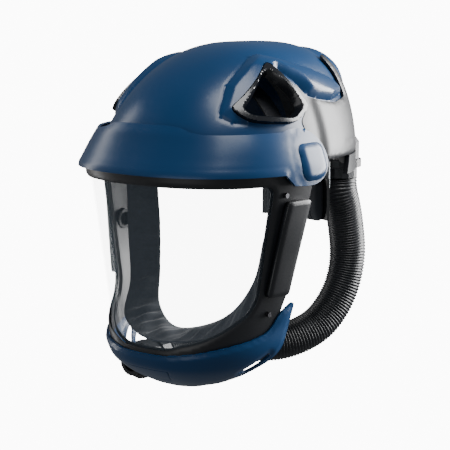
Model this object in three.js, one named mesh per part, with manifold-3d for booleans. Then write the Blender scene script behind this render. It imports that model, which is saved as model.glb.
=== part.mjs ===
// Head-top of a powered air respirator: safety helmet, flip-up visor and breathing hose.
// Millimetres, +Z up, wearer's face towards -Y, wearer's left towards +X.
// The origin is the centre of the headband, where the head carries the part.
import * as THREE from 'three';
import { mergeVertices } from 'three/addons/utils/BufferGeometryUtils.js';
import Module from 'manifold-3d';

const wasm = await Module();
wasm.setup();

// ---- driving dimensions ----
const CROWN_Z = 121; // top of the helmet
const DOME_BASE_Z = 20; // where the dome starts to curve in
const DOME_FRONT = 117; // reach of the dome in front of its plan centre
const DOME_HALF_WIDTH = 106;
const DOME_BACK_Y = 134;
const PLAN_Y = -20; // plan centre of the dome and the visor
const CROWN_SHIFT = 28; // the crown lies this far behind the plan centre
const SHELL_WALL = 3;
const GAP = 0.3; // clearance between touching pieces
const VISOR_POWER = 2.5; // superellipse power of the visor's plan
const VISOR_HALF_WIDTH = 120;
const VISOR_FRONT = 132;
const PIVOT_Y = -28;
const PIVOT_Z = 13;
const HOSE_RADIUS = 20;

// ---- materials ----
const paint = (color, roughness, metalness = 0) =>
  new THREE.MeshStandardMaterial({ color, roughness, metalness });
const BLUE = paint(0x0b3f78, 0.35);
const BLACK = paint(0x23262b, 0.45);
const RUBBER = paint(0x1a1c20, 0.6);
const GREY_CLOTH = paint(0x3c424e, 0.9);
const PALE_PLASTIC = paint(0xc9ced4, 0.5);
const STEEL = paint(0xb8bcc2, 0.3, 1);
const CLEAR = paint(0xe8f2f6, 0.05);
CLEAR.transparent = true;
CLEAR.opacity = 0.25;

const part = new THREE.Group();

// ---- solids ----
function toSolid(geometry) {
  const bare = geometry.clone();
  bare.deleteAttribute('normal');
  bare.deleteAttribute('uv');
  const merged = mergeVertices(bare, 1e-4);
  const triVerts = [];
  const index = merged.index.array;
  for (let i = 0; i < index.length; i += 3) {
    const [a, b, c] = [index[i], index[i + 1], index[i + 2]];
    if (a !== b && b !== c && a !== c) triVerts.push(a, b, c);
  }
  return new wasm.Manifold(new wasm.Mesh({
    numProp: 3,
    vertProperties: new Float32Array(merged.attributes.position.array),
    triVerts: new Uint32Array(triVerts),
  }));
}

function toGeometry(solid) {
  const mesh = solid.getMesh();
  const geometry = new THREE.BufferGeometry();
  geometry.setAttribute('position', new THREE.BufferAttribute(new Float32Array(mesh.vertProperties), 3));
  geometry.setIndex(new THREE.BufferAttribute(new Uint32Array(mesh.triVerts), 1));
  geometry.computeVertexNormals();
  return geometry;
}

function add(name, shape, material) {
  const geometry = shape.isBufferGeometry ? shape : toGeometry(shape);
  const mesh = new THREE.Mesh(geometry, material);
  mesh.name = name;
  part.add(mesh);
  return mesh;
}

// A closed wall between two sheets of points, sheet(u, v) with u and v from 0 to 1.
function wallSolid(outer, inner, uSteps, vSteps) {
  const points = [];
  const faces = [];
  for (const sheet of [outer, inner]) {
    for (let j = 0; j <= vSteps; j += 1) {
      for (let i = 0; i <= uSteps; i += 1) points.push(...sheet(i / uSteps, j / vSteps));
    }
  }
  const row = uSteps + 1;
  const layer = row * (vSteps + 1);
  const quad = (a, b, c, d) => faces.push(a, b, c, a, c, d);
  for (let j = 0; j < vSteps; j += 1) {
    for (let i = 0; i < uSteps; i += 1) {
      const a = j * row + i;
      quad(a, a + 1, a + 1 + row, a + row);
      quad(layer + a, layer + a + row, layer + a + 1 + row, layer + a + 1);
    }
  }
  for (let i = 0; i < uSteps; i += 1) {
    const top = vSteps * row + i;
    quad(i, layer + i, layer + i + 1, i + 1);
    quad(top, top + 1, layer + top + 1, layer + top);
  }
  for (let j = 0; j < vSteps; j += 1) {
    const left = j * row;
    const right = left + uSteps;
    quad(left, left + row, layer + left + row, layer + left);
    quad(right, layer + right, layer + right + row, right + row);
  }
  return fromFaces(points, faces);
}

// A closed body lofted through rings of the same number of points, with fans at both ends.
function loftSolid(rings) {
  const count = rings[0].length;
  const points = rings.flat(2);
  const faces = [];
  for (let j = 0; j + 1 < rings.length; j += 1) {
    for (let i = 0; i < count; i += 1) {
      const a = j * count + i;
      const b = j * count + (i + 1) % count;
      faces.push(a, b, b + count, a, b + count, a + count);
    }
  }
  for (const end of [0, rings.length - 1]) {
    const centre = [0, 1, 2].map((k) => rings[end].reduce((sum, p) => sum + p[k], 0) / count);
    const hub = points.length / 3;
    points.push(...centre);
    for (let i = 0; i < count; i += 1) {
      const a = end * count + i;
      const b = end * count + (i + 1) % count;
      if (end === 0) faces.push(hub, b, a);
      else faces.push(hub, a, b);
    }
  }
  return fromFaces(points, faces);
}

function fromFaces(points, faces) {
  const geometry = new THREE.BufferGeometry();
  geometry.setAttribute('position', new THREE.Float32BufferAttribute(points, 3));
  let volume = 0;
  const corner = (k) => new THREE.Vector3().fromArray(points, 3 * k);
  for (let i = 0; i < faces.length; i += 3) {
    volume += corner(faces[i]).dot(corner(faces[i + 1]).cross(corner(faces[i + 2])));
  }
  geometry.setIndex(volume > 0 ? faces : faces.slice().reverse());
  return toSolid(geometry);
}

// A side-view outline of [y, z] points, extruded along X.
function sideOutline(points, xFrom, xTo) {
  const shape = new THREE.Shape(points.map(([y, z]) => new THREE.Vector2(y, z)));
  return sideShape(shape, xFrom, xTo);
}

function sideShape(shape, xFrom, xTo, curveSegments = 4) {
  const depth = xTo - xFrom;
  const geometry = new THREE.ExtrudeGeometry(shape, { depth, bevelEnabled: false, curveSegments });
  const turn = new THREE.Matrix4().makeBasis(
    new THREE.Vector3(0, 1, 0), new THREE.Vector3(0, 0, 1), new THREE.Vector3(1, 0, 0));
  geometry.applyMatrix4(turn);
  geometry.translate(xFrom, 0, 0);
  return toSolid(geometry);
}

// A polygon with rounded corners.
function rounded(points, radius) {
  const shape = new THREE.Shape();
  const corners = points.map(([a, b]) => new THREE.Vector2(a, b));
  corners.forEach((corner, i) => {
    const before = corners[(i + corners.length - 1) % corners.length];
    const after = corners[(i + 1) % corners.length];
    const reach = Math.min(radius, corner.distanceTo(before) / 2.1, corner.distanceTo(after) / 2.1);
    const start = corner.clone().add(before.clone().sub(corner).setLength(reach));
    const end = corner.clone().add(after.clone().sub(corner).setLength(reach));
    if (i === 0) shape.moveTo(start.x, start.y);
    else shape.lineTo(start.x, start.y);
    shape.quadraticCurveTo(corner.x, corner.y, end.x, end.y);
  });
  shape.closePath();
  return shape;
}

const block = (x0, x1, y0, y1, z0, z1) => {
  const geometry = new THREE.BoxGeometry(x1 - x0, y1 - y0, z1 - z0);
  geometry.translate((x0 + x1) / 2, (y0 + y1) / 2, (z0 + z1) / 2);
  return toSolid(geometry);
};

// A turned ring or disc about Z: profile of [radius, height] points.
const turned = (profile, segments = 16) =>
  new THREE.LatheGeometry(profile.map(([r, z]) => new THREE.Vector2(r, z)), segments).rotateX(Math.PI / 2);
const ringProfile = (inner, outer, low, high) =>
  [[inner, low], [outer, low], [outer, high], [inner, high], [inner, low]];
const discProfile = (outer, low, high) => [[0, low], [outer, low], [outer, high], [0, high]];

// Places a piece made about Z on the line from a point along a direction.
function aim(geometry, origin, direction) {
  const turn = new THREE.Quaternion().setFromUnitVectors(
    new THREE.Vector3(0, 0, 1), new THREE.Vector3(...direction).normalize());
  return geometry.applyQuaternion(turn).translate(...origin);
}

const mirrored = (points) => points.map(([x, ...rest]) => [-x, ...rest]);

// ---- helmet: dome, hoods, window bezels ----
const DOME_RISE = CROWN_Z - DOME_BASE_Z;
const DOME_SIDES = 30;
const signedPower = (value, power) => Math.sign(value) * Math.abs(value) ** power;

// One level of the dome, grown by an offset, as a ring of points.
function domeRing(z, offset) {
  const t = Math.min(1, Math.max(0, (z - DOME_BASE_Z) / (DOME_RISE + offset)));
  const centreY = PLAN_Y + CROWN_SHIFT * t * t;
  const round = (1 - t ** 1.4) ** 0.38;
  const roundBack = (1 - t ** 3.4) ** (1 / 3.4);
  const front = (DOME_FRONT + offset) * round;
  const side = (DOME_HALF_WIDTH + offset) * round;
  const back = (DOME_BACK_Y - centreY + offset) * roundBack;
  return Array.from({ length: DOME_SIDES }, (_, i) => {
    const angle = 2 * Math.PI * (i + 0.5) / DOME_SIDES;
    const [s, c] = [Math.sin(angle), Math.cos(angle)];
    const x = side * signedPower(s, 0.87);
    const y = c < 0 ? centreY + front * signedPower(c, 0.87) : centreY + back * c;
    return [x, y, z];
  });
}

function domeSolid(offset, bottom) {
  const rise = DOME_RISE + offset;
  const levels = [bottom];
  const rows = 7;
  for (let j = 0; j < rows; j += 1) levels.push(DOME_BASE_Z + rise * Math.sin(j / rows * Math.PI / 2));
  levels.push(DOME_BASE_Z + rise * 0.999);
  return loftSolid(levels.map((z) => domeRing(z, offset)));
}

const domeSlab = (outer, inner, bottom) =>
  domeSolid(outer, bottom).subtract(domeSolid(inner, bottom - 5));

const SHELL_BOTTOM = 10;
const HOOD_PROUD = 7;
const WINDOW_OUTER = [[-92, 62], [-84, 52], [-70, 49], [-34, 47], [-8, 60], [-30, 102]];
const WINDOW_INNER = [[-84, 63], [-79, 57], [-34, 51.5], [-17, 61], [-21, 73], [-36, 94], [-46, 93]];
const HOOD = [[-102, 52], [-92, 76], [-62, 100], [-36, 110], [-8, 105], [40, 92], [78, 80],
  [78, 68], [43, 64], [14, 71], [4, 86], [-8, 98], [-30, 60], [-80, 50]];

const hood = domeSlab(HOOD_PROUD, -1, 0).intersect(
  sideShape(rounded(HOOD, 6), 20, 150).add(sideShape(rounded(HOOD, 6), -150, -20)));
const windowCut = sideShape(rounded(WINDOW_OUTER, 8), 20, 150)
  .add(sideShape(rounded(WINDOW_OUTER, 8), -150, -20));
add('helmet_shell', domeSlab(0, -SHELL_WALL, SHELL_BOTTOM).add(hood).subtract(windowCut), BLUE);

const shrunk = (points, step) => {
  const cy = points.reduce((sum, p) => sum + p[0], 0) / points.length;
  const cz = points.reduce((sum, p) => sum + p[1], 0) / points.length;
  return points.map(([y, z]) => {
    const reach = Math.hypot(y - cy, z - cz);
    const scale = (reach - step) / reach;
    return [cy + (y - cy) * scale, cz + (z - cz) * scale];
  });
};
for (const [side, from, to] of [['left', 20, 150], ['right', -150, -20]]) {
  const ring = sideShape(rounded(shrunk(WINDOW_OUTER, 0.8), 8), from, to)
    .subtract(sideShape(rounded(WINDOW_INNER, 5), from, to));
  add(`window_bezel_${side}`, domeSlab(2.5, -SHELL_WALL - 1, 0).intersect(ring), BLACK);
}

// ---- rear housing, its skirt and the hose socket ----
const HOUSING = [[3, 46], [12, 67], [43, 60], [80, 64], [81, 88], [74, 103], [86, 104],
  [98, 90], [106, 62], [118, 46], [170, 44], [170, 10.3], [3, 10.3]];
add('rear_housing', domeSlab(4.5, GAP, 5).intersect(sideOutline(HOUSING, -160, 160)), BLACK);
const SKIRT_TOP = SHELL_BOTTOM - GAP;
const SKIRT_BOTTOM = -8;
add('housing_skirt', domeSlab(5, -6, SKIRT_BOTTOM)
  .intersect(block(-130, 130, 50, 170, SKIRT_BOTTOM, SKIRT_TOP)), BLACK);

const SOCKET_Y = 178;
const SOCKET_BORE = 16;
const SPIGOT_RADIUS = 19;
const SPIGOT_BOTTOM = -20;
const socketBody = toSolid(turned(
  [[0, -10], [22, -10], [22, 8], [17, 15], [8, 19], [0, 19]]).translate(0, SOCKET_Y, 0))
  .add(toSolid(turned(discProfile(SPIGOT_RADIUS, SPIGOT_BOTTOM, -8)).translate(0, SOCKET_Y, 0)))
  .add(block(-20, 20, 139.6, SOCKET_Y, -7, 14));
add('hose_socket', socketBody.subtract(
  toSolid(turned(discProfile(SOCKET_BORE, SPIGOT_BOTTOM - 5, 8)).translate(0, SOCKET_Y, 0))), BLACK);
add('hose_union_nut', turned(ringProfile(SPIGOT_RADIUS + GAP, 24, SPIGOT_BOTTOM + 1, -10 - GAP), 20)
  .translate(0, SOCKET_Y, 0), BLACK);

// ---- air duct under the crown and the deflector over the forehead ----
const INNER_FACE = -SHELL_WALL - GAP;
add('air_duct', domeSlab(INNER_FACE, -9, 0).intersect(block(-18, 18, -90, 120, 52, 130)), BLACK);
add('air_deflector', domeSlab(INNER_FACE, -8, 0).intersect(block(-45, 45, -150, -70, 30, 51.5)), BLACK);

// ---- head harness ----
const BAND_X = 82;
const BAND_Y = 102;
const BAND_LOW = -12;
const BAND_HIGH = 13;
const BAND_WALL = 2.5;
function ovalBand(outset, thickness, low, high) {
  const shape = new THREE.Shape();
  shape.absellipse(0, 0, BAND_X + outset, BAND_Y + outset, 0, 2 * Math.PI);
  const hole = new THREE.Path();
  hole.absellipse(0, 0, BAND_X + outset - thickness, BAND_Y + outset - thickness, 0, 2 * Math.PI);
  shape.holes.push(hole);
  const depth = high - low;
  const geometry = new THREE.ExtrudeGeometry(shape, { depth, bevelEnabled: false, curveSegments: 16 });
  return toSolid(geometry.translate(0, 0, low));
}
add('headband', ovalBand(0, BAND_WALL, BAND_LOW, BAND_HIGH), BLACK);
add('sweatband', ovalBand(-BAND_WALL - GAP, 4, BAND_LOW - 3, BAND_HIGH + 3)
  .intersect(block(-90, 90, -110, -30, -40, 40)), GREY_CLOTH);

// A strap that arches over the head between two points of the headband.
function archStrap(halfSpan, rise, width) {
  const shape = new THREE.Shape();
  const wall = 1.6;
  const foot = 2;
  shape.moveTo(halfSpan, foot);
  shape.absellipse(0, BAND_HIGH, halfSpan, rise, 0, Math.PI, false);
  shape.lineTo(-halfSpan, foot);
  shape.lineTo(-halfSpan + wall, foot);
  shape.absellipse(0, BAND_HIGH, halfSpan - wall, rise - wall, Math.PI, 0, true);
  shape.lineTo(halfSpan - wall, foot);
  shape.closePath();
  return new THREE.ExtrudeGeometry(shape, { depth: width, bevelEnabled: false, curveSegments: 12 })
    .translate(0, 0, -width / 2).rotateX(Math.PI / 2);
}
const CROSS_Y = -28;
add('crown_strap_long', archStrap(BAND_Y + 2.3, 88, 22).rotateZ(Math.PI / 2), BLACK);
add('crown_strap_cross', archStrap(BAND_X + 0.6, 78, 22).translate(0, CROSS_Y, 0), BLACK);
for (const [side, sign] of [['left', 1], ['right', -1]]) {
  const x = sign * (BAND_X + 3.4);
  add(`harness_clip_${side}`, block(x - 2, x + 2, CROSS_Y - 14, CROSS_Y + 14, 1, 15), BLACK);
}
for (const [end, y] of [['front', -BAND_Y - 5], ['rear', BAND_Y + 5]]) {
  add(`harness_clip_${end}`, block(-14, 14, y - 2.2, y + 2.2, 1, 15), BLACK);
}

// ---- nape adjuster ----
const NAPE_RADIUS = 105;
const NAPE_LOW = -66;
const NAPE_HIGH = -22;
function napePlate(radius, thickness, halfWidth, low, high) {
  const shape = new THREE.Shape();
  const reach = Math.asin(halfWidth / radius);
  shape.absarc(0, 0, radius, Math.PI / 2 - reach, Math.PI / 2 + reach, false);
  shape.absarc(0, 0, radius - thickness, Math.PI / 2 + reach, Math.PI / 2 - reach, true);
  shape.closePath();
  return new THREE.ExtrudeGeometry(shape, { depth: high - low, bevelEnabled: false, curveSegments: 8 })
    .translate(0, 5, low);
}
const KNOB_Z = -44;
add('nape_cradle', napePlate(NAPE_RADIUS, 3, 44, NAPE_LOW, NAPE_HIGH), BLACK);
add('nape_pad', napePlate(NAPE_RADIUS - 3 - GAP, 9, 38, NAPE_LOW - 2, NAPE_HIGH + 2), GREY_CLOTH);
add('nape_ratchet', aim(turned(discProfile(19, 0, 7)), [0, NAPE_RADIUS + 5 + GAP, KNOB_Z], [0, 1, 0]), BLACK);
const knobFlutes = 14;
const knobShape = new THREE.Shape();
for (let i = 0; i <= knobFlutes * 4; i += 1) {
  const angle = i / (knobFlutes * 4) * 2 * Math.PI;
  const radius = 16.5 + 0.9 * Math.cos(knobFlutes * angle);
  if (i === 0) knobShape.moveTo(radius, 0);
  else knobShape.lineTo(radius * Math.cos(angle), radius * Math.sin(angle));
}
add('nape_knob', aim(new THREE.ExtrudeGeometry(knobShape, { depth: 11, bevelEnabled: false }),
  [0, NAPE_RADIUS + 12 + 2 * GAP, KNOB_Z], [0, 1, 0]), BLACK);
for (const [side, sign] of [['left', 1], ['right', -1]]) {
  const x = sign * 30;
  add(`nape_strap_${side}`, block(x - 4, x + 4, 113, 114.6, -34, 9), PALE_PLASTIC);
}

// ---- visor surface: a superellipse plan whose size changes with height ----
const VISOR_TOP = 15;
const VISOR_LOW = -180;
const SIDE_TAPER = 0.163;
const FRONT_TAPER = 0.09;
const PLAN_REACH = 0.8; // share of the plan line that curves; the rest runs straight back
const STRAIGHT_RUN = 60;
const visorSize = (z) => {
  const drop = Math.min(0, z - VISOR_TOP);
  return [VISOR_HALF_WIDTH + SIDE_TAPER * drop, VISOR_FRONT + FRONT_TAPER * drop];
};

function planPoint(u, halfWidth, front) {
  const along = 2 * u - 1;
  const reach = Math.abs(along) / PLAN_REACH;
  if (reach > 1) {
    const run = (reach - 1) / (1 / PLAN_REACH - 1) * STRAIGHT_RUN;
    return [Math.sign(along) * halfWidth, PLAN_Y + run];
  }
  const angle = reach * Math.PI / 2;
  const power = 2 / VISOR_POWER;
  const x = Math.sign(along) * halfWidth * Math.sin(angle) ** power;
  return [x, PLAN_Y - front * Math.cos(angle) ** power];
}

function visorWall(outer, inner, low, high, rows = 3, size = visorSize) {
  const sheet = (offset) => (u, v) => {
    const z = low + (high - low) * v;
    const [halfWidth, front] = size(z);
    return [...planPoint(u, halfWidth + offset, front + offset), z];
  };
  return wallSolid(sheet(outer), sheet(inner), PLAN_STEPS, rows);
}
const PLAN_STEPS = 26;
const FULL = 160;

// ---- brow ----
// levels of height, half-width and reach in front of the plan centre
const BROW_LEVELS = [[-12, 124.5, 137], [3.5, 124.5, 138], [8, 124, 137], [20, 120, 130],
  [35, 112.5, 121.5], [41, 108.5, 118.5], [50, 103.5, 112]];
function levelSize(levels, z) {
  const k = Math.max(1, levels.findIndex((level) => level[0] >= z - 1e-6));
  const [low, high] = [levels[k - 1], levels[k]];
  const share = (z - low[0]) / (high[0] - low[0]);
  return [1, 2].map((i) => low[i] + (high[i] - low[i]) * share);
}
const browSize = (z) => levelSize(BROW_LEVELS, z);
const BROW_WALL = 2.5;
const browOutline = new THREE.Shape();
browOutline.moveTo(-165, 3.5);
browOutline.lineTo(-71, 3.5);
browOutline.lineTo(-60, -7);
browOutline.lineTo(-38, -8);
browOutline.absarc(-36, 18, 26, -Math.PI / 2, Math.PI / 2, false);
browOutline.lineTo(-50, 44);
browOutline.lineTo(-58, 41);
browOutline.lineTo(-112, 41);
browOutline.lineTo(-124, 48.5);
browOutline.lineTo(-165, 48.5);
browOutline.closePath();
const PIN_RADIUS = 6;
const pinHole = toSolid(turned(discProfile(PIN_RADIUS + GAP, -FULL, FULL)).rotateY(Math.PI / 2)
  .translate(0, PIVOT_Y, PIVOT_Z));
add('brow', visorWall(0, -BROW_WALL, -11, 49.5, 5, browSize)
  .intersect(sideShape(browOutline, -FULL, FULL)).subtract(pinHole), BLUE);

// ---- visor frame, pane and gasket ----
const FRAME_OUT = 1.5;
const FRAME_IN = -2.2;
const PANE_OUT = FRAME_IN - GAP;
const PANE_IN = PANE_OUT - 1.5;
const GASKET_OUT = PANE_IN - GAP;
const GASKET_IN = GASKET_OUT - 1.2;
const FRAME_EDGE = [[-165, 7.5], [-52, 7.5], [-52, -8.5], [-27, -8.5], [-43, -113], [-50, -134],
  [-60, -150], [-70, -157], [-84, -161], [-108, -166], [-121, -169.5], [-165, -170.4]];
const PANE_EDGE = [[-165, -6.5], [-82, -6.5], [-76, -12], [-77, -113], [-80, -122], [-86, -131],
  [-96, -138], [-107, -146], [-120, -153], [-136, -162], [-165, -165]];
// the same line moved outwards, away from the middle of the pane
const paneLine = (step) => PANE_EDGE.map(([y, z]) => {
  const [dy, dz] = [y + 120, z + 80];
  const reach = Math.hypot(dy, dz);
  return [y + dy / reach * step, z + dz / reach * step];
});
const VALVE_Y = -52;
const VALVE_Z = -60;
const VALVE_HOLE = 10.3;
const valveHole = toSolid(turned(discProfile(VALVE_HOLE, -FULL, FULL)).rotateY(Math.PI / 2)
  .translate(0, VALVE_Y, VALVE_Z));
const SCREWS = [['upper', -64, -16], ['lower', -66, -130]];
const SCREW_RADIUS = 2.5;
let frame = visorWall(FRAME_OUT, FRAME_IN, VISOR_LOW, VISOR_TOP, 1)
  .intersect(sideOutline(FRAME_EDGE, -FULL, FULL))
  .subtract(sideOutline(PANE_EDGE, -FULL, FULL)).subtract(valveHole);
for (const [, y, z] of SCREWS) {
  frame = frame.subtract(toSolid(turned(discProfile(SCREW_RADIUS + GAP, -FULL, FULL)).rotateY(Math.PI / 2)
    .translate(0, y, z)));
}
add('visor_frame', frame, BLACK);
add('visor_pane', visorWall(PANE_OUT, PANE_IN, VISOR_LOW, VISOR_TOP, 1)
  .intersect(sideOutline(paneLine(4.5), -FULL, FULL)), CLEAR);
add('pane_gasket', visorWall(GASKET_OUT, GASKET_IN, VISOR_LOW, VISOR_TOP, 1)
  .intersect(sideOutline(paneLine(4), -FULL, FULL))
  .subtract(sideOutline(paneLine(-1), -FULL, FULL)), RUBBER);

// ---- chin guard and its blank plate ----
const GUARD_OUT = 4.3;
const GUARD_WALL = 2.5;
const GUARD_LEVELS = [[-207, 52, 76], [-198, 66, 93], [-190, 76, 104], [-182, 84, 112],
  [-174, ...visorSize(-174)], [-110, ...visorSize(-110)]];
const guardSize = (z) => levelSize(GUARD_LEVELS, z);
const GUARD_EDGE = [[-31, -121], [-51, -132], [-57, -143], [-64, -149], [-80, -154], [-105, -159],
  [-120, -163], [-136, -168], [-165, -169], [-165, -207], [-100, -206], [-84, -200], [-70, -191],
  [-62, -184], [-51, -176], [-43, -166], [-36, -146]];
const FINGER_SLOT = [[-82, -188], [-72, -178], [-58, -168], [-56, -173], [-64, -181], [-72, -188]];
add('chin_guard', visorWall(GUARD_OUT, GUARD_OUT - GUARD_WALL, -207, -110, 8, guardSize)
  .intersect(sideOutline(GUARD_EDGE, -FULL, FULL))
  .subtract(sideShape(rounded(FINGER_SLOT, 3), -FULL, FULL)), BLUE);
add('name_plate', visorWall(GUARD_OUT + 1.3, GUARD_OUT + GAP, -196, -184, 3, guardSize)
  .intersect(block(-26, 26, -FULL, -60, -200, -180)), BLACK);

// ---- the two sides: pivots, exhalation valves and screws ----
const CAP_OUT = 2.6;
const CAP_IN = GAP;
const CAP_EDGE = [[-50, 2], [-45, -4], [-24, -4], [-15, 5], [-14, 27], [-19, 30], [-44, 30], [-49, 26]];
const COVER_OUT = 9.5;
const COVER_SKIN = 2;
const COVER_BASE = FRAME_OUT + GAP;
const COVER_EDGE = [[-62, -22], [-33, -22], [-46, -113], [-71, -113]];
const COVER_HOLLOW = [[-59.5, -25], [-36.5, -25], [-49, -118], [-68, -118]];
for (const [side, sign] of [['left', 1], ['right', -1]]) {
  const span = sign > 0 ? [20, FULL] : [-FULL, -20];
  const turnOut = (shape, x, y, z) => aim(shape, [sign * x, y, z], [sign, 0, 0]);
  const pin = toSolid(turnOut(turned(discProfile(9, 0, 8.5)), 106.4, PIVOT_Y, PIVOT_Z))
    .add(toSolid(turnOut(turned(discProfile(PIN_RADIUS, 0, 13)), 107, PIVOT_Y, PIVOT_Z)));
  add(`pivot_pin_${side}`, pin, STEEL);
  const cap = visorWall(CAP_OUT, CAP_IN, -11, 49.5, 5, browSize)
    .intersect(sideShape(rounded(CAP_EDGE, 6), ...span));
  add(`pivot_cap_${side}`, cap, BLUE);
  const cover = visorWall(COVER_OUT, COVER_BASE, VISOR_LOW, VISOR_TOP, 1)
    .intersect(sideOutline(COVER_EDGE, ...span))
    .subtract(visorWall(COVER_OUT - COVER_SKIN, COVER_BASE - 1, VISOR_LOW, VISOR_TOP, 1)
      .intersect(sideOutline(COVER_HOLLOW, ...span)));
  add(`valve_cover_${side}`, cover, BLACK);
  add(`valve_seat_${side}`, turnOut(turned(ringProfile(7, 10, 0, 6.5)), 102.4, VALVE_Y, VALVE_Z), BLACK);
  add(`valve_membrane_${side}`, turnOut(turned(discProfile(8.5, 0, 0.8)), 109.1, VALVE_Y, VALVE_Z), RUBBER);
  for (const [level, y, z] of SCREWS) {
    const x = visorSize(z)[0] - 3.4;
    const screw = turned(discProfile(SCREW_RADIUS, 0, 4.4), 12);
    add(`frame_screw_${level}_${side}`, turnOut(screw, x, y, z), STEEL);
  }
}

// ---- face seal: a web of cloth from the frame to the cheeks and under the chin ----
const SEAL_RIM = [[104, -48, -20], [95, -56, -70], [85, -64, -118], [62, -96, -150], [0, -119, -160]];
const SEAL_FACE = [[76, -32, -20], [67, -38, -65], [60, -46, -108], [42, -66, -140], [0, -84, -153]];
const SEAL_WALL = 1.5;
const sealCurve = (half) => new THREE.CatmullRomCurve3(
  [...half, ...mirrored(half.slice(0, -1)).reverse()].map((p) => new THREE.Vector3(...p)));
const rimCurve = sealCurve(SEAL_RIM);
const faceCurve = sealCurve(SEAL_FACE);
const sealPoint = (u, v) => {
  const point = rimCurve.getPoint(u).lerp(faceCurve.getPoint(u), v);
  point.y += 5 * Math.sin(Math.PI * v);
  return point;
};
function sealSheet(offset) {
  return (u, v) => {
    const step = 0.01;
    const [u0, v0] = [Math.min(u, 1 - step), Math.min(v, 1 - step)];
    const along = sealPoint(u0 + step, v0).sub(sealPoint(u0, v0));
    const across = sealPoint(u0, v0 + step).sub(sealPoint(u0, v0));
    return sealPoint(u, v).addScaledVector(along.cross(across).normalize(), offset).toArray();
  };
}
add('face_seal', wallSolid(sealSheet(SEAL_WALL / 2), sealSheet(-SEAL_WALL / 2), 22, 3), GREY_CLOTH);

// ---- breathing hose: down behind the head, then along the surface round the neck ----
const HOSE_ROUTE = [[0, 178, -32], [0, 179, -46], [0, 187, -68], [0, 193, -92], [0, 196, -115],
  [-1, 194, -137], [-3, 187, -158], [-7, 175, -178], [-13, 159, -194], [-22, 140, -204],
  [-34, 121, -210], [-49, 102, -211], [-66, 82, -211], [-81, 61, -211], [-92, 39, -211],
  [-99, 18, -211], [-99, -3, -211]];
const hosePoints = HOSE_ROUTE.map((p) => new THREE.Vector3(...p));
const hoseCurve = new THREE.CatmullRomCurve3(hosePoints, false, 'centripetal');
const HOSE_SIDES = 10;
const hoseSection = new THREE.Shape(Array.from({ length: HOSE_SIDES }, (_, i) => {
  const angle = 2 * Math.PI * i / HOSE_SIDES;
  return new THREE.Vector2(HOSE_RADIUS * Math.cos(angle), HOSE_RADIUS * Math.sin(angle));
}));
add('breathing_hose', new THREE.ExtrudeGeometry(hoseSection, { steps: 20, extrudePath: hoseCurve }), RUBBER);
const hoseEnd = hoseCurve.getPoint(1);
const hoseWay = new THREE.Vector3(0, -1, 0);
const CUFF_GAP = 1;
const CUFF_END = 13;
const beyond = (distance) => hoseEnd.clone().addScaledVector(hoseWay, distance).toArray();
const onEnd = (profile, distance) => aim(turned(profile), beyond(distance), hoseWay.toArray());
add('hose_cuff', turned(ringProfile(SOCKET_BORE, HOSE_RADIUS, -30.5, SPIGOT_BOTTOM - GAP))
  .translate(0, SOCKET_Y, 0), RUBBER);
add('hose_end_cuff', onEnd(ringProfile(14, 20, CUFF_GAP, CUFF_END), 0), RUBBER);
const CONNECTOR = [[10, 0], [18, 0], [18, 8], [14.5, 8], [14.5, 34], [10, 34], [10, 0]];
add('hose_connector', onEnd(CONNECTOR, CUFF_END + GAP), BLACK);
add('bayonet_ring', onEnd(ringProfile(15, 20, 0, 14), CUFF_END + GAP + 8 + GAP), BLACK);
add('connector_seal', onEnd(ringProfile(14.8, 16.2, 0, 2.2), CUFF_END + GAP + 8 + 14 + 4), RUBBER);

export default part;
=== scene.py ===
import math

import bmesh
import bpy
import numpy as np
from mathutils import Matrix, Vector
from mathutils.geometry import delaunay_2d_cdt


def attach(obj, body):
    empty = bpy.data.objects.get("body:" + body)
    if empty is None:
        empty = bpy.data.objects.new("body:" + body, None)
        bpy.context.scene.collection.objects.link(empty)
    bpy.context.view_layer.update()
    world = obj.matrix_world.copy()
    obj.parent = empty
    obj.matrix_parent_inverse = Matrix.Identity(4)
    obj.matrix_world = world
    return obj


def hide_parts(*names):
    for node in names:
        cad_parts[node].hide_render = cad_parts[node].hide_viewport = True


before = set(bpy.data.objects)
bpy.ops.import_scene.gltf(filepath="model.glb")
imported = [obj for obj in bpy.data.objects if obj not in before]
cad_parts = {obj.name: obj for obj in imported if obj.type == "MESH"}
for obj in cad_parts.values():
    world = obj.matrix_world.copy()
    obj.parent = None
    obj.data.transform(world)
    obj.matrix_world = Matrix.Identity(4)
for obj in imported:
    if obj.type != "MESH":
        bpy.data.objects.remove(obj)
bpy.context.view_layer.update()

MM = 0.001

# ---- driving sizes, in millimetres, as in the CAD part ----
CROWN_Z = 121.0
DOME_BASE_Z = 20.0
DOME_RISE = CROWN_Z - DOME_BASE_Z
DOME_FRONT = 117.0
DOME_HALF_WIDTH = 106.0
DOME_BACK_Y = 134.0
PLAN_Y = -20.0
CROWN_SHIFT = 28.0
SHELL_WALL = 3.0
HOOD_PROUD = 7.0
VISOR_POWER = 2.5
VISOR_HALF_WIDTH = 120.0
VISOR_FRONT = 132.0
VISOR_TOP = 15.0
SIDE_TAPER = 0.163
FRONT_TAPER = 0.09

# ---- the free hose comes first: its route is the CAD part's, in metres ----
HOSE_ROUTE = [tuple(c * MM for c in place) for place in [
    (0, 178, -32), (0, 179, -46), (0, 187, -68), (0, 193, -92), (0, 196, -115), (-1, 194, -137), (-3, 187, -158),
    (-7, 175, -178), (-13, 159, -194), (-22, 140, -204), (-34, 121, -210), (-49, 102, -211), (-66, 82, -211),
    (-81, 61, -211), (-92, 39, -211), (-99, 18, -211), (-99, -3, -211)]]
HOSE_DIAMETER = 0.040


# ---- camera and light ----
AIM = Vector((-0.0014, -0.0139, -0.0612))
AZIMUTH = math.radians(40)
ELEVATION = math.radians(9)
DISTANCE = 1.5


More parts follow.
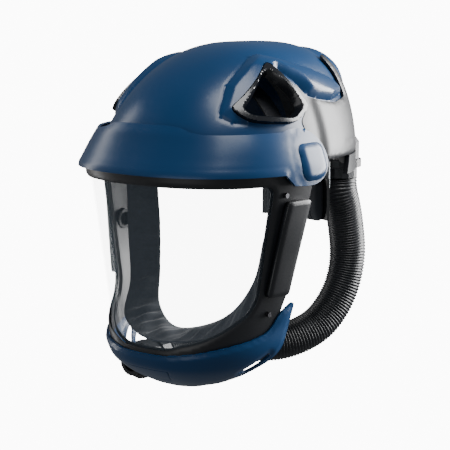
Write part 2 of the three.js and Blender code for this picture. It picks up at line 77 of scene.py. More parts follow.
def add_camera():
    data = bpy.data.cameras.new("camera")
    data.lens = 120
    data.sensor_width = 36
    data.clip_end = 50
    camera = bpy.data.objects.new("camera", data)
    away = Vector((math.sin(AZIMUTH) * math.cos(ELEVATION), -math.cos(AZIMUTH) * math.cos(ELEVATION),
                   math.sin(ELEVATION)))
    camera.location = AIM + away * DISTANCE
    camera.rotation_euler = away.to_track_quat("Z", "Y").to_euler()
    bpy.context.collection.objects.link(camera)
    bpy.context.scene.camera = camera


def add_area_light(name, place, target, size, power, colour=(1, 1, 1)):
    data = bpy.data.lights.new(name, "AREA")
    data.shape = "RECTANGLE"
    data.size, data.size_y = size
    data.energy = power
    data.color = colour
    light = bpy.data.objects.new(name, data)
    light.location = place
    light.rotation_euler = (Vector(place) - Vector(target)).to_track_quat("Z", "Y").to_euler()
    bpy.context.collection.objects.link(light)


def add_studio():
    world = bpy.data.worlds.new("studio")
    world.use_nodes = True
    tree = world.node_tree
    tree.nodes["Background"].inputs["Color"].default_value = (0.95, 0.98, 1.0, 1)
    tree.nodes["Background"].inputs["Strength"].default_value = 0.2
    backdrop = tree.nodes.new("ShaderNodeBackground")
    backdrop.inputs["Strength"].default_value = 14.0
    mix = tree.nodes.new("ShaderNodeMixShader")
    tree.links.new(tree.nodes.new("ShaderNodeLightPath").outputs["Is Camera Ray"], mix.inputs["Fac"])
    tree.links.new(tree.nodes["Background"].outputs["Background"], mix.inputs[1])
    tree.links.new(backdrop.outputs["Background"], mix.inputs[2])
    tree.links.new(mix.outputs["Shader"], tree.nodes["World Output"].inputs["Surface"])
    bpy.context.scene.world = world
    middle = (0, 0, -0.05)
    add_area_light("key_top", (0.5, -0.2, 1.5), middle, (0.9, 0.9), 26)
    add_area_light("rear_side", (0.8, 1.45, 0.4), middle, (1.1, 1.4), 120)
    add_area_light("left_strip", (-1.3, -0.3, 0.1), middle, (0.25, 1.5), 6)
    add_area_light("front_fill", (0.2, -1.9, 0.1), middle, (1.6, 1.2), 8)


# ---- materials ----
def new_material(name, colour, roughness, **extra):
    material = bpy.data.materials.new(name)
    material.use_nodes = True
    shader = material.node_tree.nodes["Principled BSDF"]
    shader.inputs["Base Color"].default_value = (*colour, 1)
    shader.inputs["Roughness"].default_value = roughness
    for key, value in extra.items():
        shader.inputs[key.replace("_", " ")].default_value = value
    return material


def add_node(tree, kind, **values):
    node = tree.nodes.new(kind)
    for key, value in values.items():
        if key in node.inputs:
            node.inputs[key].default_value = value
        else:
            setattr(node, key, value)
    return node


def object_coordinates(tree):
    return add_node(tree, "ShaderNodeTexCoord").outputs["Object"]


def noise(tree, scale, detail=2.0, stretch=None):
    where = object_coordinates(tree)
    if stretch:
        mapping = add_node(tree, "ShaderNodeMapping")
        mapping.inputs["Scale"].default_value = stretch
        tree.links.new(where, mapping.inputs["Vector"])
        where = mapping.outputs["Vector"]
    node = add_node(tree, "ShaderNodeTexNoise", Scale=scale, Detail=detail)
    tree.links.new(where, node.inputs["Vector"])
    return node.outputs["Fac"]


def vary_colour(material, fac, dark, light):
    tree = material.node_tree
    mix = add_node(tree, "ShaderNodeMix", data_type="RGBA")
    mix.inputs["A"].default_value = (*dark, 1)
    mix.inputs["B"].default_value = (*light, 1)
    tree.links.new(fac, mix.inputs["Factor"])
    tree.links.new(mix.outputs["Result"], tree.nodes["Principled BSDF"].inputs["Base Color"])


def vary_roughness(material, fac, low, high):
    tree = material.node_tree
    node = add_node(tree, "ShaderNodeMapRange")
    node.inputs["To Min"].default_value = low
    node.inputs["To Max"].default_value = high
    tree.links.new(fac, node.inputs["Value"])
    tree.links.new(node.outputs["Result"], tree.nodes["Principled BSDF"].inputs["Roughness"])


def add_bump(material, height, strength, distance):
    tree = material.node_tree
    bump = add_node(tree, "ShaderNodeBump", Strength=strength, Distance=distance)
    tree.links.new(height, bump.inputs["Height"])
    tree.links.new(bump.outputs["Normal"], tree.nodes["Principled BSDF"].inputs["Normal"])


def moulded(name, dark, light, rough_low, rough_high, grain_scale, grain_depth, **extra):
    """Moulded plastic: slow colour drift, patchy gloss and a fine moulding grain."""
    material = new_material(name, light, rough_high, **extra)
    tree = material.node_tree
    vary_colour(material, noise(tree, 9.0, 3.0), dark, light)
    vary_roughness(material, noise(tree, 38.0, 4.0), rough_low, rough_high)
    add_bump(material, noise(tree, grain_scale, 2.0), 0.35, grain_depth)
    return material


def make_materials():
    made = {}
    made["blue"] = moulded("navy_shell", (0.0, 0.027, 0.088), (0.0, 0.034, 0.108), 0.27, 0.34, 2600, 0.00002,
                           Coat_Weight=0.1, Coat_Roughness=0.25, Specular_IOR_Level=0.35)
    made["black"] = moulded("black_moulding", (0.004, 0.005, 0.007), (0.008, 0.009, 0.012), 0.33, 0.45, 3200, 0.00003)
    made["gloss_black"] = moulded("gloss_black_bezel", (0.004, 0.005, 0.007), (0.008, 0.009, 0.012), 0.14, 0.22, 2600,
                                  0.00001)
    made["soft_black"] = moulded("black_strap", (0.012, 0.013, 0.016), (0.02, 0.021, 0.026), 0.5, 0.65, 2400, 0.00004)
    made["rubber"] = moulded("hose_rubber", (0.010, 0.011, 0.014), (0.016, 0.018, 0.022), 0.30, 0.42, 1800, 0.00003)
    made["pale"] = moulded("pale_strap", (0.42, 0.46, 0.50), (0.52, 0.56, 0.60), 0.35, 0.5, 2000, 0.00003)
    steel = new_material("brushed_steel", (0.6, 0.61, 0.63), 0.3, Metallic=1.0)
    vary_roughness(steel, noise(steel.node_tree, 400, 2.0, (1, 1, 12)), 0.22, 0.4)
    made["steel"] = steel
    clear = new_material("clear_polycarbonate", (0.2, 0.25, 0.3), 0.02, IOR=1.5)
    vary_roughness(clear, noise(clear.node_tree, 60, 3.0), 0.0, 0.03)
    clear.node_tree.nodes["Principled BSDF"].inputs["Alpha"].default_value = 0.1
    made["clear"] = clear
    made["screw_black"] = new_material("blackened_screw", (0.02, 0.02, 0.024), 0.35, Metallic=0.8)
    vary_roughness(made["screw_black"], noise(made["screw_black"].node_tree, 500, 2.0), 0.3, 0.45)
    cloth = new_material("slate_cloth", (0.02, 0.025, 0.034), 0.8, Sheen_Weight=0.2, Sheen_Roughness=0.5)
    tree = cloth.node_tree
    waves = []
    for direction in ("X", "Z"):
        wave = add_node(tree, "ShaderNodeTexWave", Scale=420.0, Distortion=0.6, bands_direction=direction)
        tree.links.new(object_coordinates(tree), wave.inputs["Vector"])
        waves.append(wave.outputs["Fac"])
    weave = add_node(tree, "ShaderNodeMath", operation="MULTIPLY")
    tree.links.new(waves[0], weave.inputs[0])
    tree.links.new(waves[1], weave.inputs[1])
    add_bump(cloth, weave.outputs["Value"], 0.5, 0.0002)
    vary_colour(cloth, noise(tree, 30, 4.0), (0.014, 0.018, 0.026), (0.026, 0.031, 0.042))
    made["cloth"] = cloth
    return made


add_camera()
add_studio()
MATERIALS = make_materials()


# ---- meshes ----
def new_object(name, mesh, material, body, slot=None, replaces=()):
    obj = bpy.data.objects.new(name, mesh)
    bpy.context.collection.objects.link(obj)
    mesh.materials.append(MATERIALS[material])
    for polygon in mesh.polygons:
        polygon.use_smooth = True
    if replaces:
        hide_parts(*replaces)
    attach(obj, body)
    return obj


def mesh_from(name, points, faces):
    """A mesh from points in millimetres."""
    mesh = bpy.data.meshes.new(name)
    mesh.from_pydata([tuple(c * MM for c in p) for p in points], [], faces)
    mesh.update()
    return mesh


def add_modifier(obj, name, kind, **values):
    modifier = obj.modifiers.new(name, kind)
    for key, value in values.items():
        setattr(modifier, key, value)
    return modifier


def apply_modifiers(obj):
    graph = bpy.context.evaluated_depsgraph_get()
    baked = bpy.data.meshes.new_from_object(obj.evaluated_get(graph))
    obj.modifiers.clear()
    old = obj.data
    obj.data = baked
    bpy.data.meshes.remove(old)
    for polygon in baked.polygons:
        polygon.use_smooth = True


def thicken(obj, wall, bevel=0.6, segments=3):
    """Gives a sheet its wall, inwards, and rounds its edges."""
    add_modifier(obj, "wall", "SOLIDIFY", thickness=wall * MM, offset=-1, use_even_offset=False)
    if bevel:
        add_modifier(obj, "edges", "BEVEL", width=bevel * MM, segments=segments, limit_method="ANGLE",
                     angle_limit=math.radians(40), harden_normals=True)
    apply_modifiers(obj)


def rounded(points, radius, steps=6):
    """A polygon with its corners rounded as quadratic curves."""
    line = []
    for k, corner in enumerate(points):
        corner = Vector(corner)
        before, after = Vector(points[k - 1]), Vector(points[(k + 1) % len(points)])
        reach = min(radius, (corner - before).length / 2.1, (corner - after).length / 2.1)
        start = corner + (before - corner).normalized() * reach
        end = corner + (after - corner).normalized() * reach
        for i in range(steps + 1):
            t = i / steps
            line.append(tuple((1 - t) ** 2 * start + 2 * t * (1 - t) * corner + t * t * end))
    return line


def resample(line, step, closed=True):
    """Points along a line about a step apart, its own corners kept."""
    found = []
    count = len(line) if closed else len(line) - 1
    for k in range(count):
        a, b = Vector(line[k]), Vector(line[(k + 1) % len(line)])
        pieces = max(1, math.ceil((b - a).length / step))
        found += [tuple(a.lerp(b, i / pieces)) for i in range(pieces)]
    if not closed:
        found.append(tuple(line[-1]))
    return found


def inside_many(points, polygon):
    """Which of the points, an array of rows [x, y], lie in a polygon."""
    x, y = points[:, 0], points[:, 1]
    hit = np.zeros(len(points), bool)
    for k, (x1, y1) in enumerate(polygon):
        x0, y0 = polygon[k - 1]
        if y0 == y1:
            continue
        spans = (y0 > y) != (y1 > y)
        hit ^= spans & (x < (x1 - x0) * (y - y0) / (y1 - y0) + x0)
    return hit


def line_distance(points, line):
    """Each point's distance from a closed line."""
    best = np.full(len(points), 1e9)
    for k, end in enumerate(line):
        a = np.array(line[k - 1], float)
        run = np.array(end, float) - a
        length = max(float(run @ run), 1e-12)
        share = np.clip((points - a) @ run / length, 0, 1)
        best = np.minimum(best, np.linalg.norm(points - a - share[:, None] * run, axis=1))
    return best


def flat_patch(outline, holes, step, ridges=()):
    """Triangles over a flat region: the outline, its holes and any ridge lines become edges."""
    lines = [resample(line, step) for line in (outline, *holes, *ridges)]
    points = []
    edges = []
    for line in lines:
        first = len(points)
        points += [Vector(p) for p in line]
        edges += [(first + i, first + (i + 1) % len(line)) for i in range(len(line))]
    corners = np.array(outline, float)
    low, high = corners.min(axis=0), corners.max(axis=0)
    rows = np.arange(low[1], high[1], step * 0.866)
    columns = np.arange(low[0], high[0], step)
    grid = np.array([(x + step / 2 * (k % 2), y) for k, y in enumerate(rows) for x in columns])
    grid = grid[inside_many(grid, outline)]
    for hole in holes:
        grid = grid[~inside_many(grid, hole)]
    for line in lines:
        grid = grid[line_distance(grid, line) > 0.5 * step]
    points += [Vector(p) for p in grid]
    made, _, faces, _, _, _ = delaunay_2d_cdt(points, edges, [], 0, 1e-6)
    middles = np.array([sum((made[i] for i in face), Vector((0, 0))) / 3 for face in faces])
    keep = inside_many(middles, outline)
    for hole in holes:
        keep &= ~inside_many(middles, hole)
    kept = [tuple(face) for face, good in zip(faces, keep) if good]
    used = sorted({i for face in kept for i in face})
    order = {i: k for k, i in enumerate(used)}
    return [tuple(made[i]) for i in used], [tuple(order[i] for i in face) for face in kept]


def mapped(name, flat, surface):
    points, faces = flat
    placed = [surface(*p) for p in points]
    return mesh_from(name, placed, faces)


def turn_faces_out(mesh, centre):
    """Makes a sheet's faces look away from a point given in millimetres."""
    work = bmesh.new()
    work.from_mesh(mesh)
    core = Vector(centre) * MM
    bmesh.ops.recalc_face_normals(work, faces=work.faces)
    score = sum((face.calc_center_median() - core).dot(face.normal) * face.calc_area() for face in work.faces)
    if score < 0:
        bmesh.ops.reverse_faces(work, faces=work.faces)
    work.to_mesh(mesh)
    work.free()
    mesh.update()


def sheet_piece(name, flat, surface, centre, wall, material, body, bevel=0.6, **extra):
    mesh = mapped(name, flat, surface)
    turn_faces_out(mesh, centre)
    obj = new_object(name, mesh, material, body, **extra)
    thicken(obj, wall, bevel)
    return obj


# ---- the dome as a surface over a disc: p to the wearer's left, q to the back ----
def signed_power(value, power):
    return math.copysign(abs(value) ** power, value)


def dome_level(z, offset=0.0):
    t = min(1.0, max(0.0, (z - DOME_BASE_Z) / (DOME_RISE + offset)))
    centre = PLAN_Y + CROWN_SHIFT * t * t
    ring = (1 - t ** 1.4) ** 0.38
    ring_back = (1 - t ** 3.4) ** (1 / 3.4)
    return (centre, (DOME_FRONT + offset) * ring, (DOME_HALF_WIDTH + offset) * ring,
            (DOME_BACK_Y - centre + offset) * ring_back)


def dome_point(angle, z, offset=0.0):
    """Angle 0 is the front and pi the back, positive to the wearer's left."""
    centre, front, side, back = dome_level(z, offset)
    s, c = math.sin(angle), math.cos(angle)
    x = side * signed_power(s, 0.87)
    y = centre - front * abs(c) ** 0.87 if c > 0 else centre - back * c
    return Vector((x, y, z))


def disc_to_dome(p, q, offset=0.0):
    reach = math.hypot(p, q)
    angle = math.atan2(p, -q)
    if reach <= 1:
        z = DOME_BASE_Z + (DOME_RISE + offset) * math.cos(reach * math.pi / 2)
    else:
        z = DOME_BASE_Z - (reach - 1) * 150
    return dome_point(angle, z, offset)


def side_to_disc(y, z):
    """Where a side-view point [y, z] of the wearer's left side lies on the disc."""
    low, high = 0.0, math.pi
    for _ in range(40):
        middle = (low + high) / 2
        if dome_point(middle, z).y < y:
            low = middle
        else:
            high = middle
    reach = math.acos(min(1.0, (z - DOME_BASE_Z) / DOME_RISE)) * 2 / math.pi
    if z < DOME_BASE_Z:
        reach = 1 + (DOME_BASE_Z - z) / 150
    return (reach * math.sin(low), -reach * math.cos(low))


def on_disc(side_points):
    return [side_to_disc(y, z) for y, z in side_points]


def mirror_line(line):
    return [(-a, b) for a, b in reversed(line)]


def back_reach(z):
    return 1 + (DOME_BASE_Z - z) / 150 if z < DOME_BASE_Z else \
        math.acos((z - DOME_BASE_Z) / DOME_RISE) * 2 / math.pi


def smooth_step(low, high, value):
    t = min(1.0, max(0.0, (value - low) / (high - low)))
    return t * t * (3 - 2 * t)


# ---- helmet shell with its hoods and rear spoiler ----
WINDOW_OUTER = [(-92, 62), (-84, 52), (-70, 49), (-34, 47), (-8, 60), (-30, 102)]
WINDOW_INNER = [(-80, 63), (-76, 58), (-34, 53.5), (-20, 61), (-23, 73), (-37, 92), (-44, 91)]
HOOD_FRONT = [(-84, 50), (-95, 50), (-101, 56), (-97, 63), (-89, 73), (-79, 84), (-67, 92), (-53, 100), (-38, 107.5)]
HOOD_TOP = [(-24, 110), (-4, 105), (40, 92), (76, 81)]
HOOD_LOW = [(78, 78), (78, 68), (43, 64), (14, 68), (1, 72), (-6, 84), (-13, 91), (-20, 97)]
HOOD = HOOD_FRONT + HOOD_TOP + HOOD_LOW + [(-34, 96), (-50, 80), (-70, 60)]
DISC_MM = 180.0  # about how many millimetres of dome one disc unit spans
CHAMFER = 10.0
TOP_BLEND = 26.0  # how far down from its top line a hood blends into the dome
CREASE_DEPTH = 0.8
TAIL_RISE = 9.0
BEZEL_PROUD = 6.2
BEZEL_LEDGE = 9.0  # how deep the bezel's inner face slopes


def densify(side_points, radius):
    return resample(rounded(side_points, radius, 4), 2.5)


def near_line(flat, line):
    """Each disc point's distance in millimetres from an open line, on either side of the helmet."""
    folded = np.column_stack([np.abs(flat[:, 0]), flat[:, 1]])
    out_and_back = line + line[::-1][1:-1]
    return line_distance(folded, out_and_back) * DISC_MM


def shell_lift(flat, bare, hoods):
    """How far the hoods stand off the dome: a chamfered front and lower edge, and a top that blends in."""
    inside = np.zeros(len(flat), bool)
    for line in hoods:
        inside |= inside_many(flat, line)
    rearward = np.clip((np.array([b.y for b in bare]) + 85) / 50, 0, 1)
    front, low, top = (near_line(flat, on_disc(resample(part, 3, closed=False)))
                       for part in (HOOD_FRONT, HOOD_LOW, HOOD_TOP))
    rise = np.minimum(np.clip(front / (CHAMFER + 3), 0, 1), np.clip(low / CHAMFER * 1.3, 0, 1))
    rise *= np.clip(top / TOP_BLEND, 0, 1) ** 0.6 * (0.55 + 0.45 * rearward) * HOOD_PROUD
    crease = CREASE_DEPTH * np.exp(-(np.minimum(front, low) / 1.6) ** 2)
    return np.where(inside, rise, 0) - crease


def make_shell():
    window = on_disc(densify(WINDOW_OUTER, 8))
    hood = on_disc(densify(HOOD, 7))
    circle = [(back_reach(10) * math.sin(a), back_reach(10) * math.cos(a))
              for a in (2 * math.pi * k / 360 for k in range(360))]
    hoods = [hood, mirror_line(hood)]
    points, faces = flat_patch(circle, [window, mirror_line(window)], 0.0125, ridges=hoods)
    bare = [disc_to_dome(p, q) for p, q in points]
    placed = []
    for (p, q), base, lift in zip(points, bare, shell_lift(np.array(points), bare, hoods)):
        tail = TAIL_RISE * smooth_step(84, 112, base.y) * smooth_step(52, 92, base.z)
        tail *= 1 - smooth_step(70, 96, abs(base.x))
        placed.append(disc_to_dome(p, q, float(lift) + tail) if base.z < 115 else base)
    mesh = mesh_from("helmet_shell_skin", placed, faces)
    turn_faces_out(mesh, (0, 0, 0))
    shell = new_object("helmet_shell_skin", mesh, "blue", "helmet", "blue_shell", ("helmet_shell",))
    add_modifier(shell, "even", "SMOOTH", factor=0.3, iterations=1)
    thicken(shell, SHELL_WALL, 0.5, 2)


def make_bezels():
    edge = on_disc(densify(WINDOW_OUTER, 8))
    hole = on_disc(densify(WINDOW_INNER, 5))
    points, faces = flat_patch(edge, [hole], 0.007)
    flat = np.array(points)
    out, into = line_distance(flat, edge), line_distance(flat, hole)
    placed = []
    for (p, q), f in zip(points, out / (out + into)):
        rim = 0.5 + (BEZEL_PROUD - 0.5) * math.sin(min(1.0, f / 0.08) * math.pi / 2)
        placed.append(disc_to_dome(p, q, rim - BEZEL_LEDGE * max(0.0, (f - 0.66) / 0.34) ** 1.2))
    for side, sign in (("left", 1), ("right", -1)):
        mesh = mesh_from("window_bezel_skin_" + side, [(sign * c.x, c.y, c.z) for c in placed], faces)
        turn_faces_out(mesh, (0, 0, 0))
        bezel = new_object("window_bezel_skin_" + side, mesh, "gloss_black", "helmet", "black_plastic",
                           ("window_bezel_" + side,))
        thicken(bezel, 2.0, 0.5, 2)


# ---- rear housing and skirt ----
HOUSING_HALF = [(118, 46), (107, 62), (99, 90), (87, 104), (74, 103), (81, 88), (80, 65), (43, 61),
                (14, 65), (-1, 70), (-8, 82), (-12, 80), (-7, 60), (-22, 48), (-14, 30), (-4, 10.3)]


def make_housing():
    half = on_disc(resample(rounded(HOUSING_HALF, 5, 4), 3, closed=False))
    line = [(0.0, back_reach(44)), *half, *on_disc([(k, 10.3) for k in range(6, 132, 7)]),
            (0.0, back_reach(10.3))]
    outline = line + [(-p, q) for p, q in reversed(line[1:-1])]
    points, faces = flat_patch(outline, [], 0.02)
    flat = np.array(points)
    edge = line_distance(flat, outline) * DISC_MM
    placed = []
    for (p, q), d in zip(points, edge):
        base = disc_to_dome(p, q)
        lift = 0.9 + 3.6 * smooth_step(-2, 12, base.y)
        groove = 0.9 * math.exp(-((base.z - 24.0) / 0.9) ** 2) * smooth_step(40, 60, base.y)
        placed.append(disc_to_dome(p, q, lift * min(1.0, 0.72 + 0.14 * d) - groove))
    mesh = mesh_from("rear_housing_skin", placed, faces)
    turn_faces_out(mesh, (0, 0, 0))
    housing = new_object("rear_housing_skin", mesh, "black", "helmet", "black_plastic", ("rear_housing",))
    thicken(housing, 2.4, 0.6, 3)
    low = [(0.0, back_reach(9.7)), *on_disc([(k, 9.7) for k in range(130, 50, -8)])]
    bottom = [*on_disc([(k, -8) for k in range(52, 132, 8)]), (0.0, back_reach(-8))]
    line = low + bottom
    outline = line + [(-p, q) for p, q in reversed(line[1:-1])]
    sheet_piece("housing_skirt_skin", flat_patch(outline, [], 0.02), lambda p, q: disc_to_dome(p, q, 4.6),
                (0, 0, 0), 5.0, "black", "helmet", 1.2, slot="black_plastic", replaces=("housing_skirt",))


# ---- the visor's plan: s is the distance from the front centre, positive to the wearer's left ----
PLAN_REACH = 0.8
STRAIGHT_RUN = 60.0
PLAN_SPAN = 235.0


def visor_size(z):
    drop = z - VISOR_TOP
    return VISOR_HALF_WIDTH + SIDE_TAPER * drop, VISOR_FRONT + FRONT_TAPER * drop


def level_size(levels):
    """A size function through levels of [height, half-width, reach], eased between them."""
    levels = sorted(levels)
    heights = [level[0] for level in levels]

    def size(z):
        found = []
        for column in (1, 2):
            values = [level[column] for level in levels]
            slopes = np.gradient(values, heights)
            k = min(len(heights) - 2, max(0, int(np.searchsorted(heights, z)) - 1))
            run = heights[k + 1] - heights[k]
            t = (z - heights[k]) / run
            found.append((2 * t ** 3 - 3 * t * t + 1) * values[k] + (t ** 3 - 2 * t * t + t) * run * slopes[k]
                         + (3 * t * t - 2 * t ** 3) * values[k + 1] + (t ** 3 - t * t) * run * slopes[k + 1])
        return found
    return size


def plan_point(s, half_width, front):
    reach = abs(s) / PLAN_SPAN / PLAN_REACH
    sign = math.copysign(1, s)
    if reach > 1:
        return sign * half_width, PLAN_Y + (reach - 1) / (1 / PLAN_REACH - 1) * STRAIGHT_RUN
    angle = reach * math.pi / 2
    power = 2 / VISOR_POWER
    return sign * half_width * math.sin(angle) ** power, PLAN_Y - front * math.cos(angle) ** power


def visor_surface(size, offset):
    def place(s, z):
        half_width, front = size(z)
        grow = offset(s, z) if callable(offset) else offset
        return (*plan_point(s, half_width + grow, front + grow), z)
    return place


def side_to_plan(y, z, size):
    half_width, front = size(z)
    low, high = 0.0, PLAN_SPAN
    for _ in range(40):
        middle = (low + high) / 2
        if plan_point(middle, half_width, front)[1] < y:
            low = middle
        else:
            high = middle
    return (low, z)


def both_sides(half):
    """Closes a half outline, which starts and ends at the front centre."""
    return half + [(-s, z) for s, z in reversed(half) if s > 0.01]


# ---- brow ----
BROW_LEVELS = [[-12, 124.5, 137], [3.5, 124.5, 138], [8, 124, 137], [20, 120, 130],
               [35, 112.5, 121.5], [41, 108.5, 118.5], [50, 103.5, 112]]
ARM_CENTRE = (-36, 18)
ARM_RADIUS = 26


def make_brow():
    size = level_size(BROW_LEVELS)
    rear = [(-58, 41.5), (-51, 43.6), (-44, 44)]
    rear += [(ARM_CENTRE[0] + ARM_RADIUS * math.cos(a), ARM_CENTRE[1] + ARM_RADIUS * math.sin(a))
             for a in (math.pi / 2 - math.pi * k / 16 for k in range(17))]
    rear += [(-46, -8), (-60, -7), (-71, 3.5)]
    half = [(0, 48.5), (24, 48.5), (38, 47.2), (52, 43.2), (66, 41.3), (90, 41)]
    half += [side_to_plan(y, z, size) for y, z in rear] + [(120, 3.5), (60, 3.5), (0, 3.5)]
    outline = both_sides(half)

    def offset(s, z):
        lip = 0.9 * smooth_step(8.5, 7.5, z) if z < 8.5 else 0.0
        y = plan_point(abs(s), *size(z))[1]
        ring = 0.5 * math.exp(-((math.hypot(y + 26, z - 14) - 33) / 0.8) ** 2) if y > -75 else 0.0
        return (lip if y < -70 else 0.0) - ring

    brow = sheet_piece("brow_skin", flat_patch(outline, [], 3.0), visor_surface(size, offset), (0, -20, 10), 2.5,
                       "blue", "visor", 0.7, slot="blue_shell", replaces=("brow",))
    return brow


# ---- pivot caps: softly domed plates with one cut corner ----
CAP_OUTLINE = [(-50, 2), (-45, -4), (-24, -4), (-15, 5), (-13.5, 27), (-19, 30.5), (-44, 30.5), (-49, 26)]


def make_pivot_caps():
    size = level_size(BROW_LEVELS)
    line = rounded([side_to_plan(y, z, size) for y, z in CAP_OUTLINE], 6)
    points, faces = flat_patch(line, [], 1.6)

    def offset(s, z):
        depth = float(line_distance(np.array([(s, z)]), line)[0])
        return 0.5 + 2.3 * math.sin(min(1.0, depth / 6.0) * math.pi / 2)

    placed = [visor_surface(size, offset)(s, z) for s, z in points]
    for side, sign in (("left", 1), ("right", -1)):
        mesh = mesh_from("pivot_cap_skin_" + side, [(sign * x, y, z) for x, y, z in placed], faces)
        turn_faces_out(mesh, (0, -30, 13))
        cap = new_object("pivot_cap_skin_" + side, mesh, "blue", "visor", "blue_shell", ("pivot_cap_" + side,))
        thicken(cap, 1.6, 0.35, 2)


# ---- visor frame, pane, gasket ----
PANE_EDGE = [(-82, -6.5), (-76, -12), (-77, -113), (-80, -122), (-86, -131), (-96, -138), (-107, -146),
             (-120, -154), (-131, -160)]
FRAME_SIDE = [(-52, 7.5), (-52, -8.5), (-27.5, -8.5), (-43, -113), (-50, -134), (-60, -150), (-70, -157),
              (-84, -161), (-108, -166), (-121, -169)]


def pane_outline(grow=0.0):
    half = [(0, -6.5 + grow)]
    for y, z in PANE_EDGE:
        away = Vector((y + 120, z + 80)).normalized() * grow
        half.append(side_to_plan(y + away.x, z + away.y, visor_size))
    half += [(28, -163.5 - grow), (0, -164.5 - grow)]
    return rounded(both_sides(half), 7, 3)


def circle_line(centre, radius, size=visor_size, count=20):
    y0, z0 = centre
    return [side_to_plan(y0 + radius * math.cos(a), z0 + radius * math.sin(a), size)
            for a in (2 * math.pi * k / count for k in range(count))]


VALVE_CENTRE = (-52, -60)


def make_frame():
    half = [(0, 7.5)] + [side_to_plan(y, z, visor_size) for y, z in FRAME_SIDE] + [(30, -170.0), (0, -170.4)]
    outline = rounded(both_sides(half), 4, 3)
    hole = pane_outline()
    valve = circle_line(VALVE_CENTRE, 10.3)
    holes = [hole, valve, mirror_line(valve)]
    points, faces = flat_patch(outline, holes, 3.0, ridges=[pane_outline(2.2)])
    near = line_distance(np.array(points), hole)
    surface = [visor_surface(visor_size, 1.5 - 1.3 * (1 - min(1.0, d / 2.2)))(*p) for p, d in zip(points, near)]
    mesh = mesh_from("visor_frame_skin", surface, faces)
    turn_faces_out(mesh, (0, -20, -80))
    frame_skin = new_object("visor_frame_skin", mesh, "black", "visor", "black_plastic", ("visor_frame",))
    thicken(frame_skin, 2.3, 0.4, 2)
    sheet_piece("visor_pane_clear", flat_patch(pane_outline(4.5), [], 4.0), visor_surface(visor_size, -2.5),
                (0, -20, -80), 1.5, "clear", "visor", 0.2, slot="clear_pane", replaces=("visor_pane",))
    sheet_piece("pane_gasket_lip", flat_patch(pane_outline(4.0), [pane_outline(-1.2)], 2.5),
                visor_surface(visor_size, -4.3), (0, -20, -80), 1.2, "rubber", "visor", 0.3,
                slot="black_rubber", replaces=("pane_gasket",))


# ---- valve covers: raised chamfered panels ----
COVER_EDGE = [(-62, -22), (-33, -22), (-46, -113), (-71, -113)]


def make_valve_covers():
    line = rounded([side_to_plan(y, z, visor_size) for y, z in COVER_EDGE], 4, 4)
    points, faces = flat_patch(line, [], 2.0)
    depth = line_distance(np.array(points), line)
    for side, sign in (("left", 1), ("right", -1)):
        placed = []
        for (s, z), d in zip(points, depth):
            x, y, height = visor_surface(visor_size, 7.6 + 1.6 * min(1.0, d / 2.6))(s, z)
            placed.append((sign * x, y, height))
        mesh = mesh_from("valve_cover_skin_" + side, placed, faces)
        turn_faces_out(mesh, (0, -60, -60))
        cover = new_object("valve_cover_skin_" + side, mesh, "black", "visor", "black_plastic",
                           ("valve_cover_" + side,))
        thicken(cover, 2.0, 0.3, 2)
        skirt_line = line + line[:1]
        rim = []
        for s, z in skirt_line:
            for grow in (7.5, 1.9):
                x, y, height = visor_surface(visor_size, grow)(s, z)
                rim.append((sign * x, y, height))
        strips = [(2 * k, 2 * k + 1, 2 * k + 3, 2 * k + 2) for k in range(len(skirt_line) - 1)]
        wall = mesh_from("valve_cover_wall_" + side, rim, strips)
        turn_faces_out(wall, (sign * 108, -52, -66))
        wall_piece = new_object("valve_cover_wall_" + side, wall, "black", "visor", "black_plastic")
        thicken(wall_piece, 1.4, 0)


# ---- chin guard with its finger slots and a blank plate ----
GUARD_LEVELS = [[-207, 52, 76], [-198, 66, 93], [-190, 76, 104], [-182, 84, 112], [-174, 89.2, 115],
                [-142, 94.4, 117.9], [-110, 99.6, 120.8]]
GUARD_TOP = [(-136, -168), (-120, -163), (-105, -159), (-80, -154), (-64, -149), (-57, -143), (-51, -132),
             (-31, -121)]
GUARD_LOW = [(-36, -146), (-43, -166), (-51, -176), (-62, -184), (-70, -191), (-84, -200), (-94, -205)]
FINGER_SLOT = [(-82, -188), (-72, -178), (-58, -168), (-56, -173), (-64, -181), (-72, -188)]
GUARD_OUT = 4.3


def make_chin_guard():
    size = level_size(GUARD_LEVELS)
    top = [side_to_plan(y, z, size) for y, z in GUARD_TOP[1:]]
    low = [side_to_plan(y, z, size) for y, z in GUARD_LOW]
    half = [(0, -169), (25, -168.5)] + top + low + [(18, -206.5), (0, -206.8)]
    outline = rounded(both_sides(half), 6, 3)
    slot = rounded([side_to_plan(y, z, size) for y, z in FINGER_SLOT], 3, 3)
    plate = [(-29, -184), (29, -184), (24, -197), (-24, -197)]
    points, faces = flat_patch(outline, [slot, mirror_line(slot)], 2.4, ridges=[plate])
    flat = np.array(points)
    rim, slot_near = line_distance(flat, outline), np.minimum(line_distance(flat, slot),
                                                             line_distance(flat, mirror_line(slot)))
    in_plate = inside_many(flat, plate)
    placed = []
    for (s, z), d, e, sunk in zip(points, rim, slot_near, in_plate):
        lift = 0.0
        if z > -175 or abs(s) > 70:
            lift = -1.2 * (1 - smooth_step(2.0, 4.2, d))
        lift -= 1.6 * (1 - smooth_step(0.5, 5.0, e))
        placed.append(visor_surface(size, GUARD_OUT + lift - (0.8 if sunk else 0.0))(s, z))
    mesh = mesh_from("chin_guard_skin", placed, faces)
    turn_faces_out(mesh, (0, -20, -150))
    guard = new_object("chin_guard_skin", mesh, "blue", "visor", "blue_shell", ("chin_guard",))
    thicken(guard, 2.5, 0.6, 3)
    inner = [(-27.6, -184.8), (27.6, -184.8), (22.8, -196.2), (-22.8, -196.2)]
    sheet_piece("name_plate_blank", flat_patch(rounded(inner, 2, 4), [], 2.0), visor_surface(size, GUARD_OUT + 0.1),
                (0, -20, -150), 0.8, "blue", "visor", 0.3, slot="blue_shell", replaces=("name_plate",))


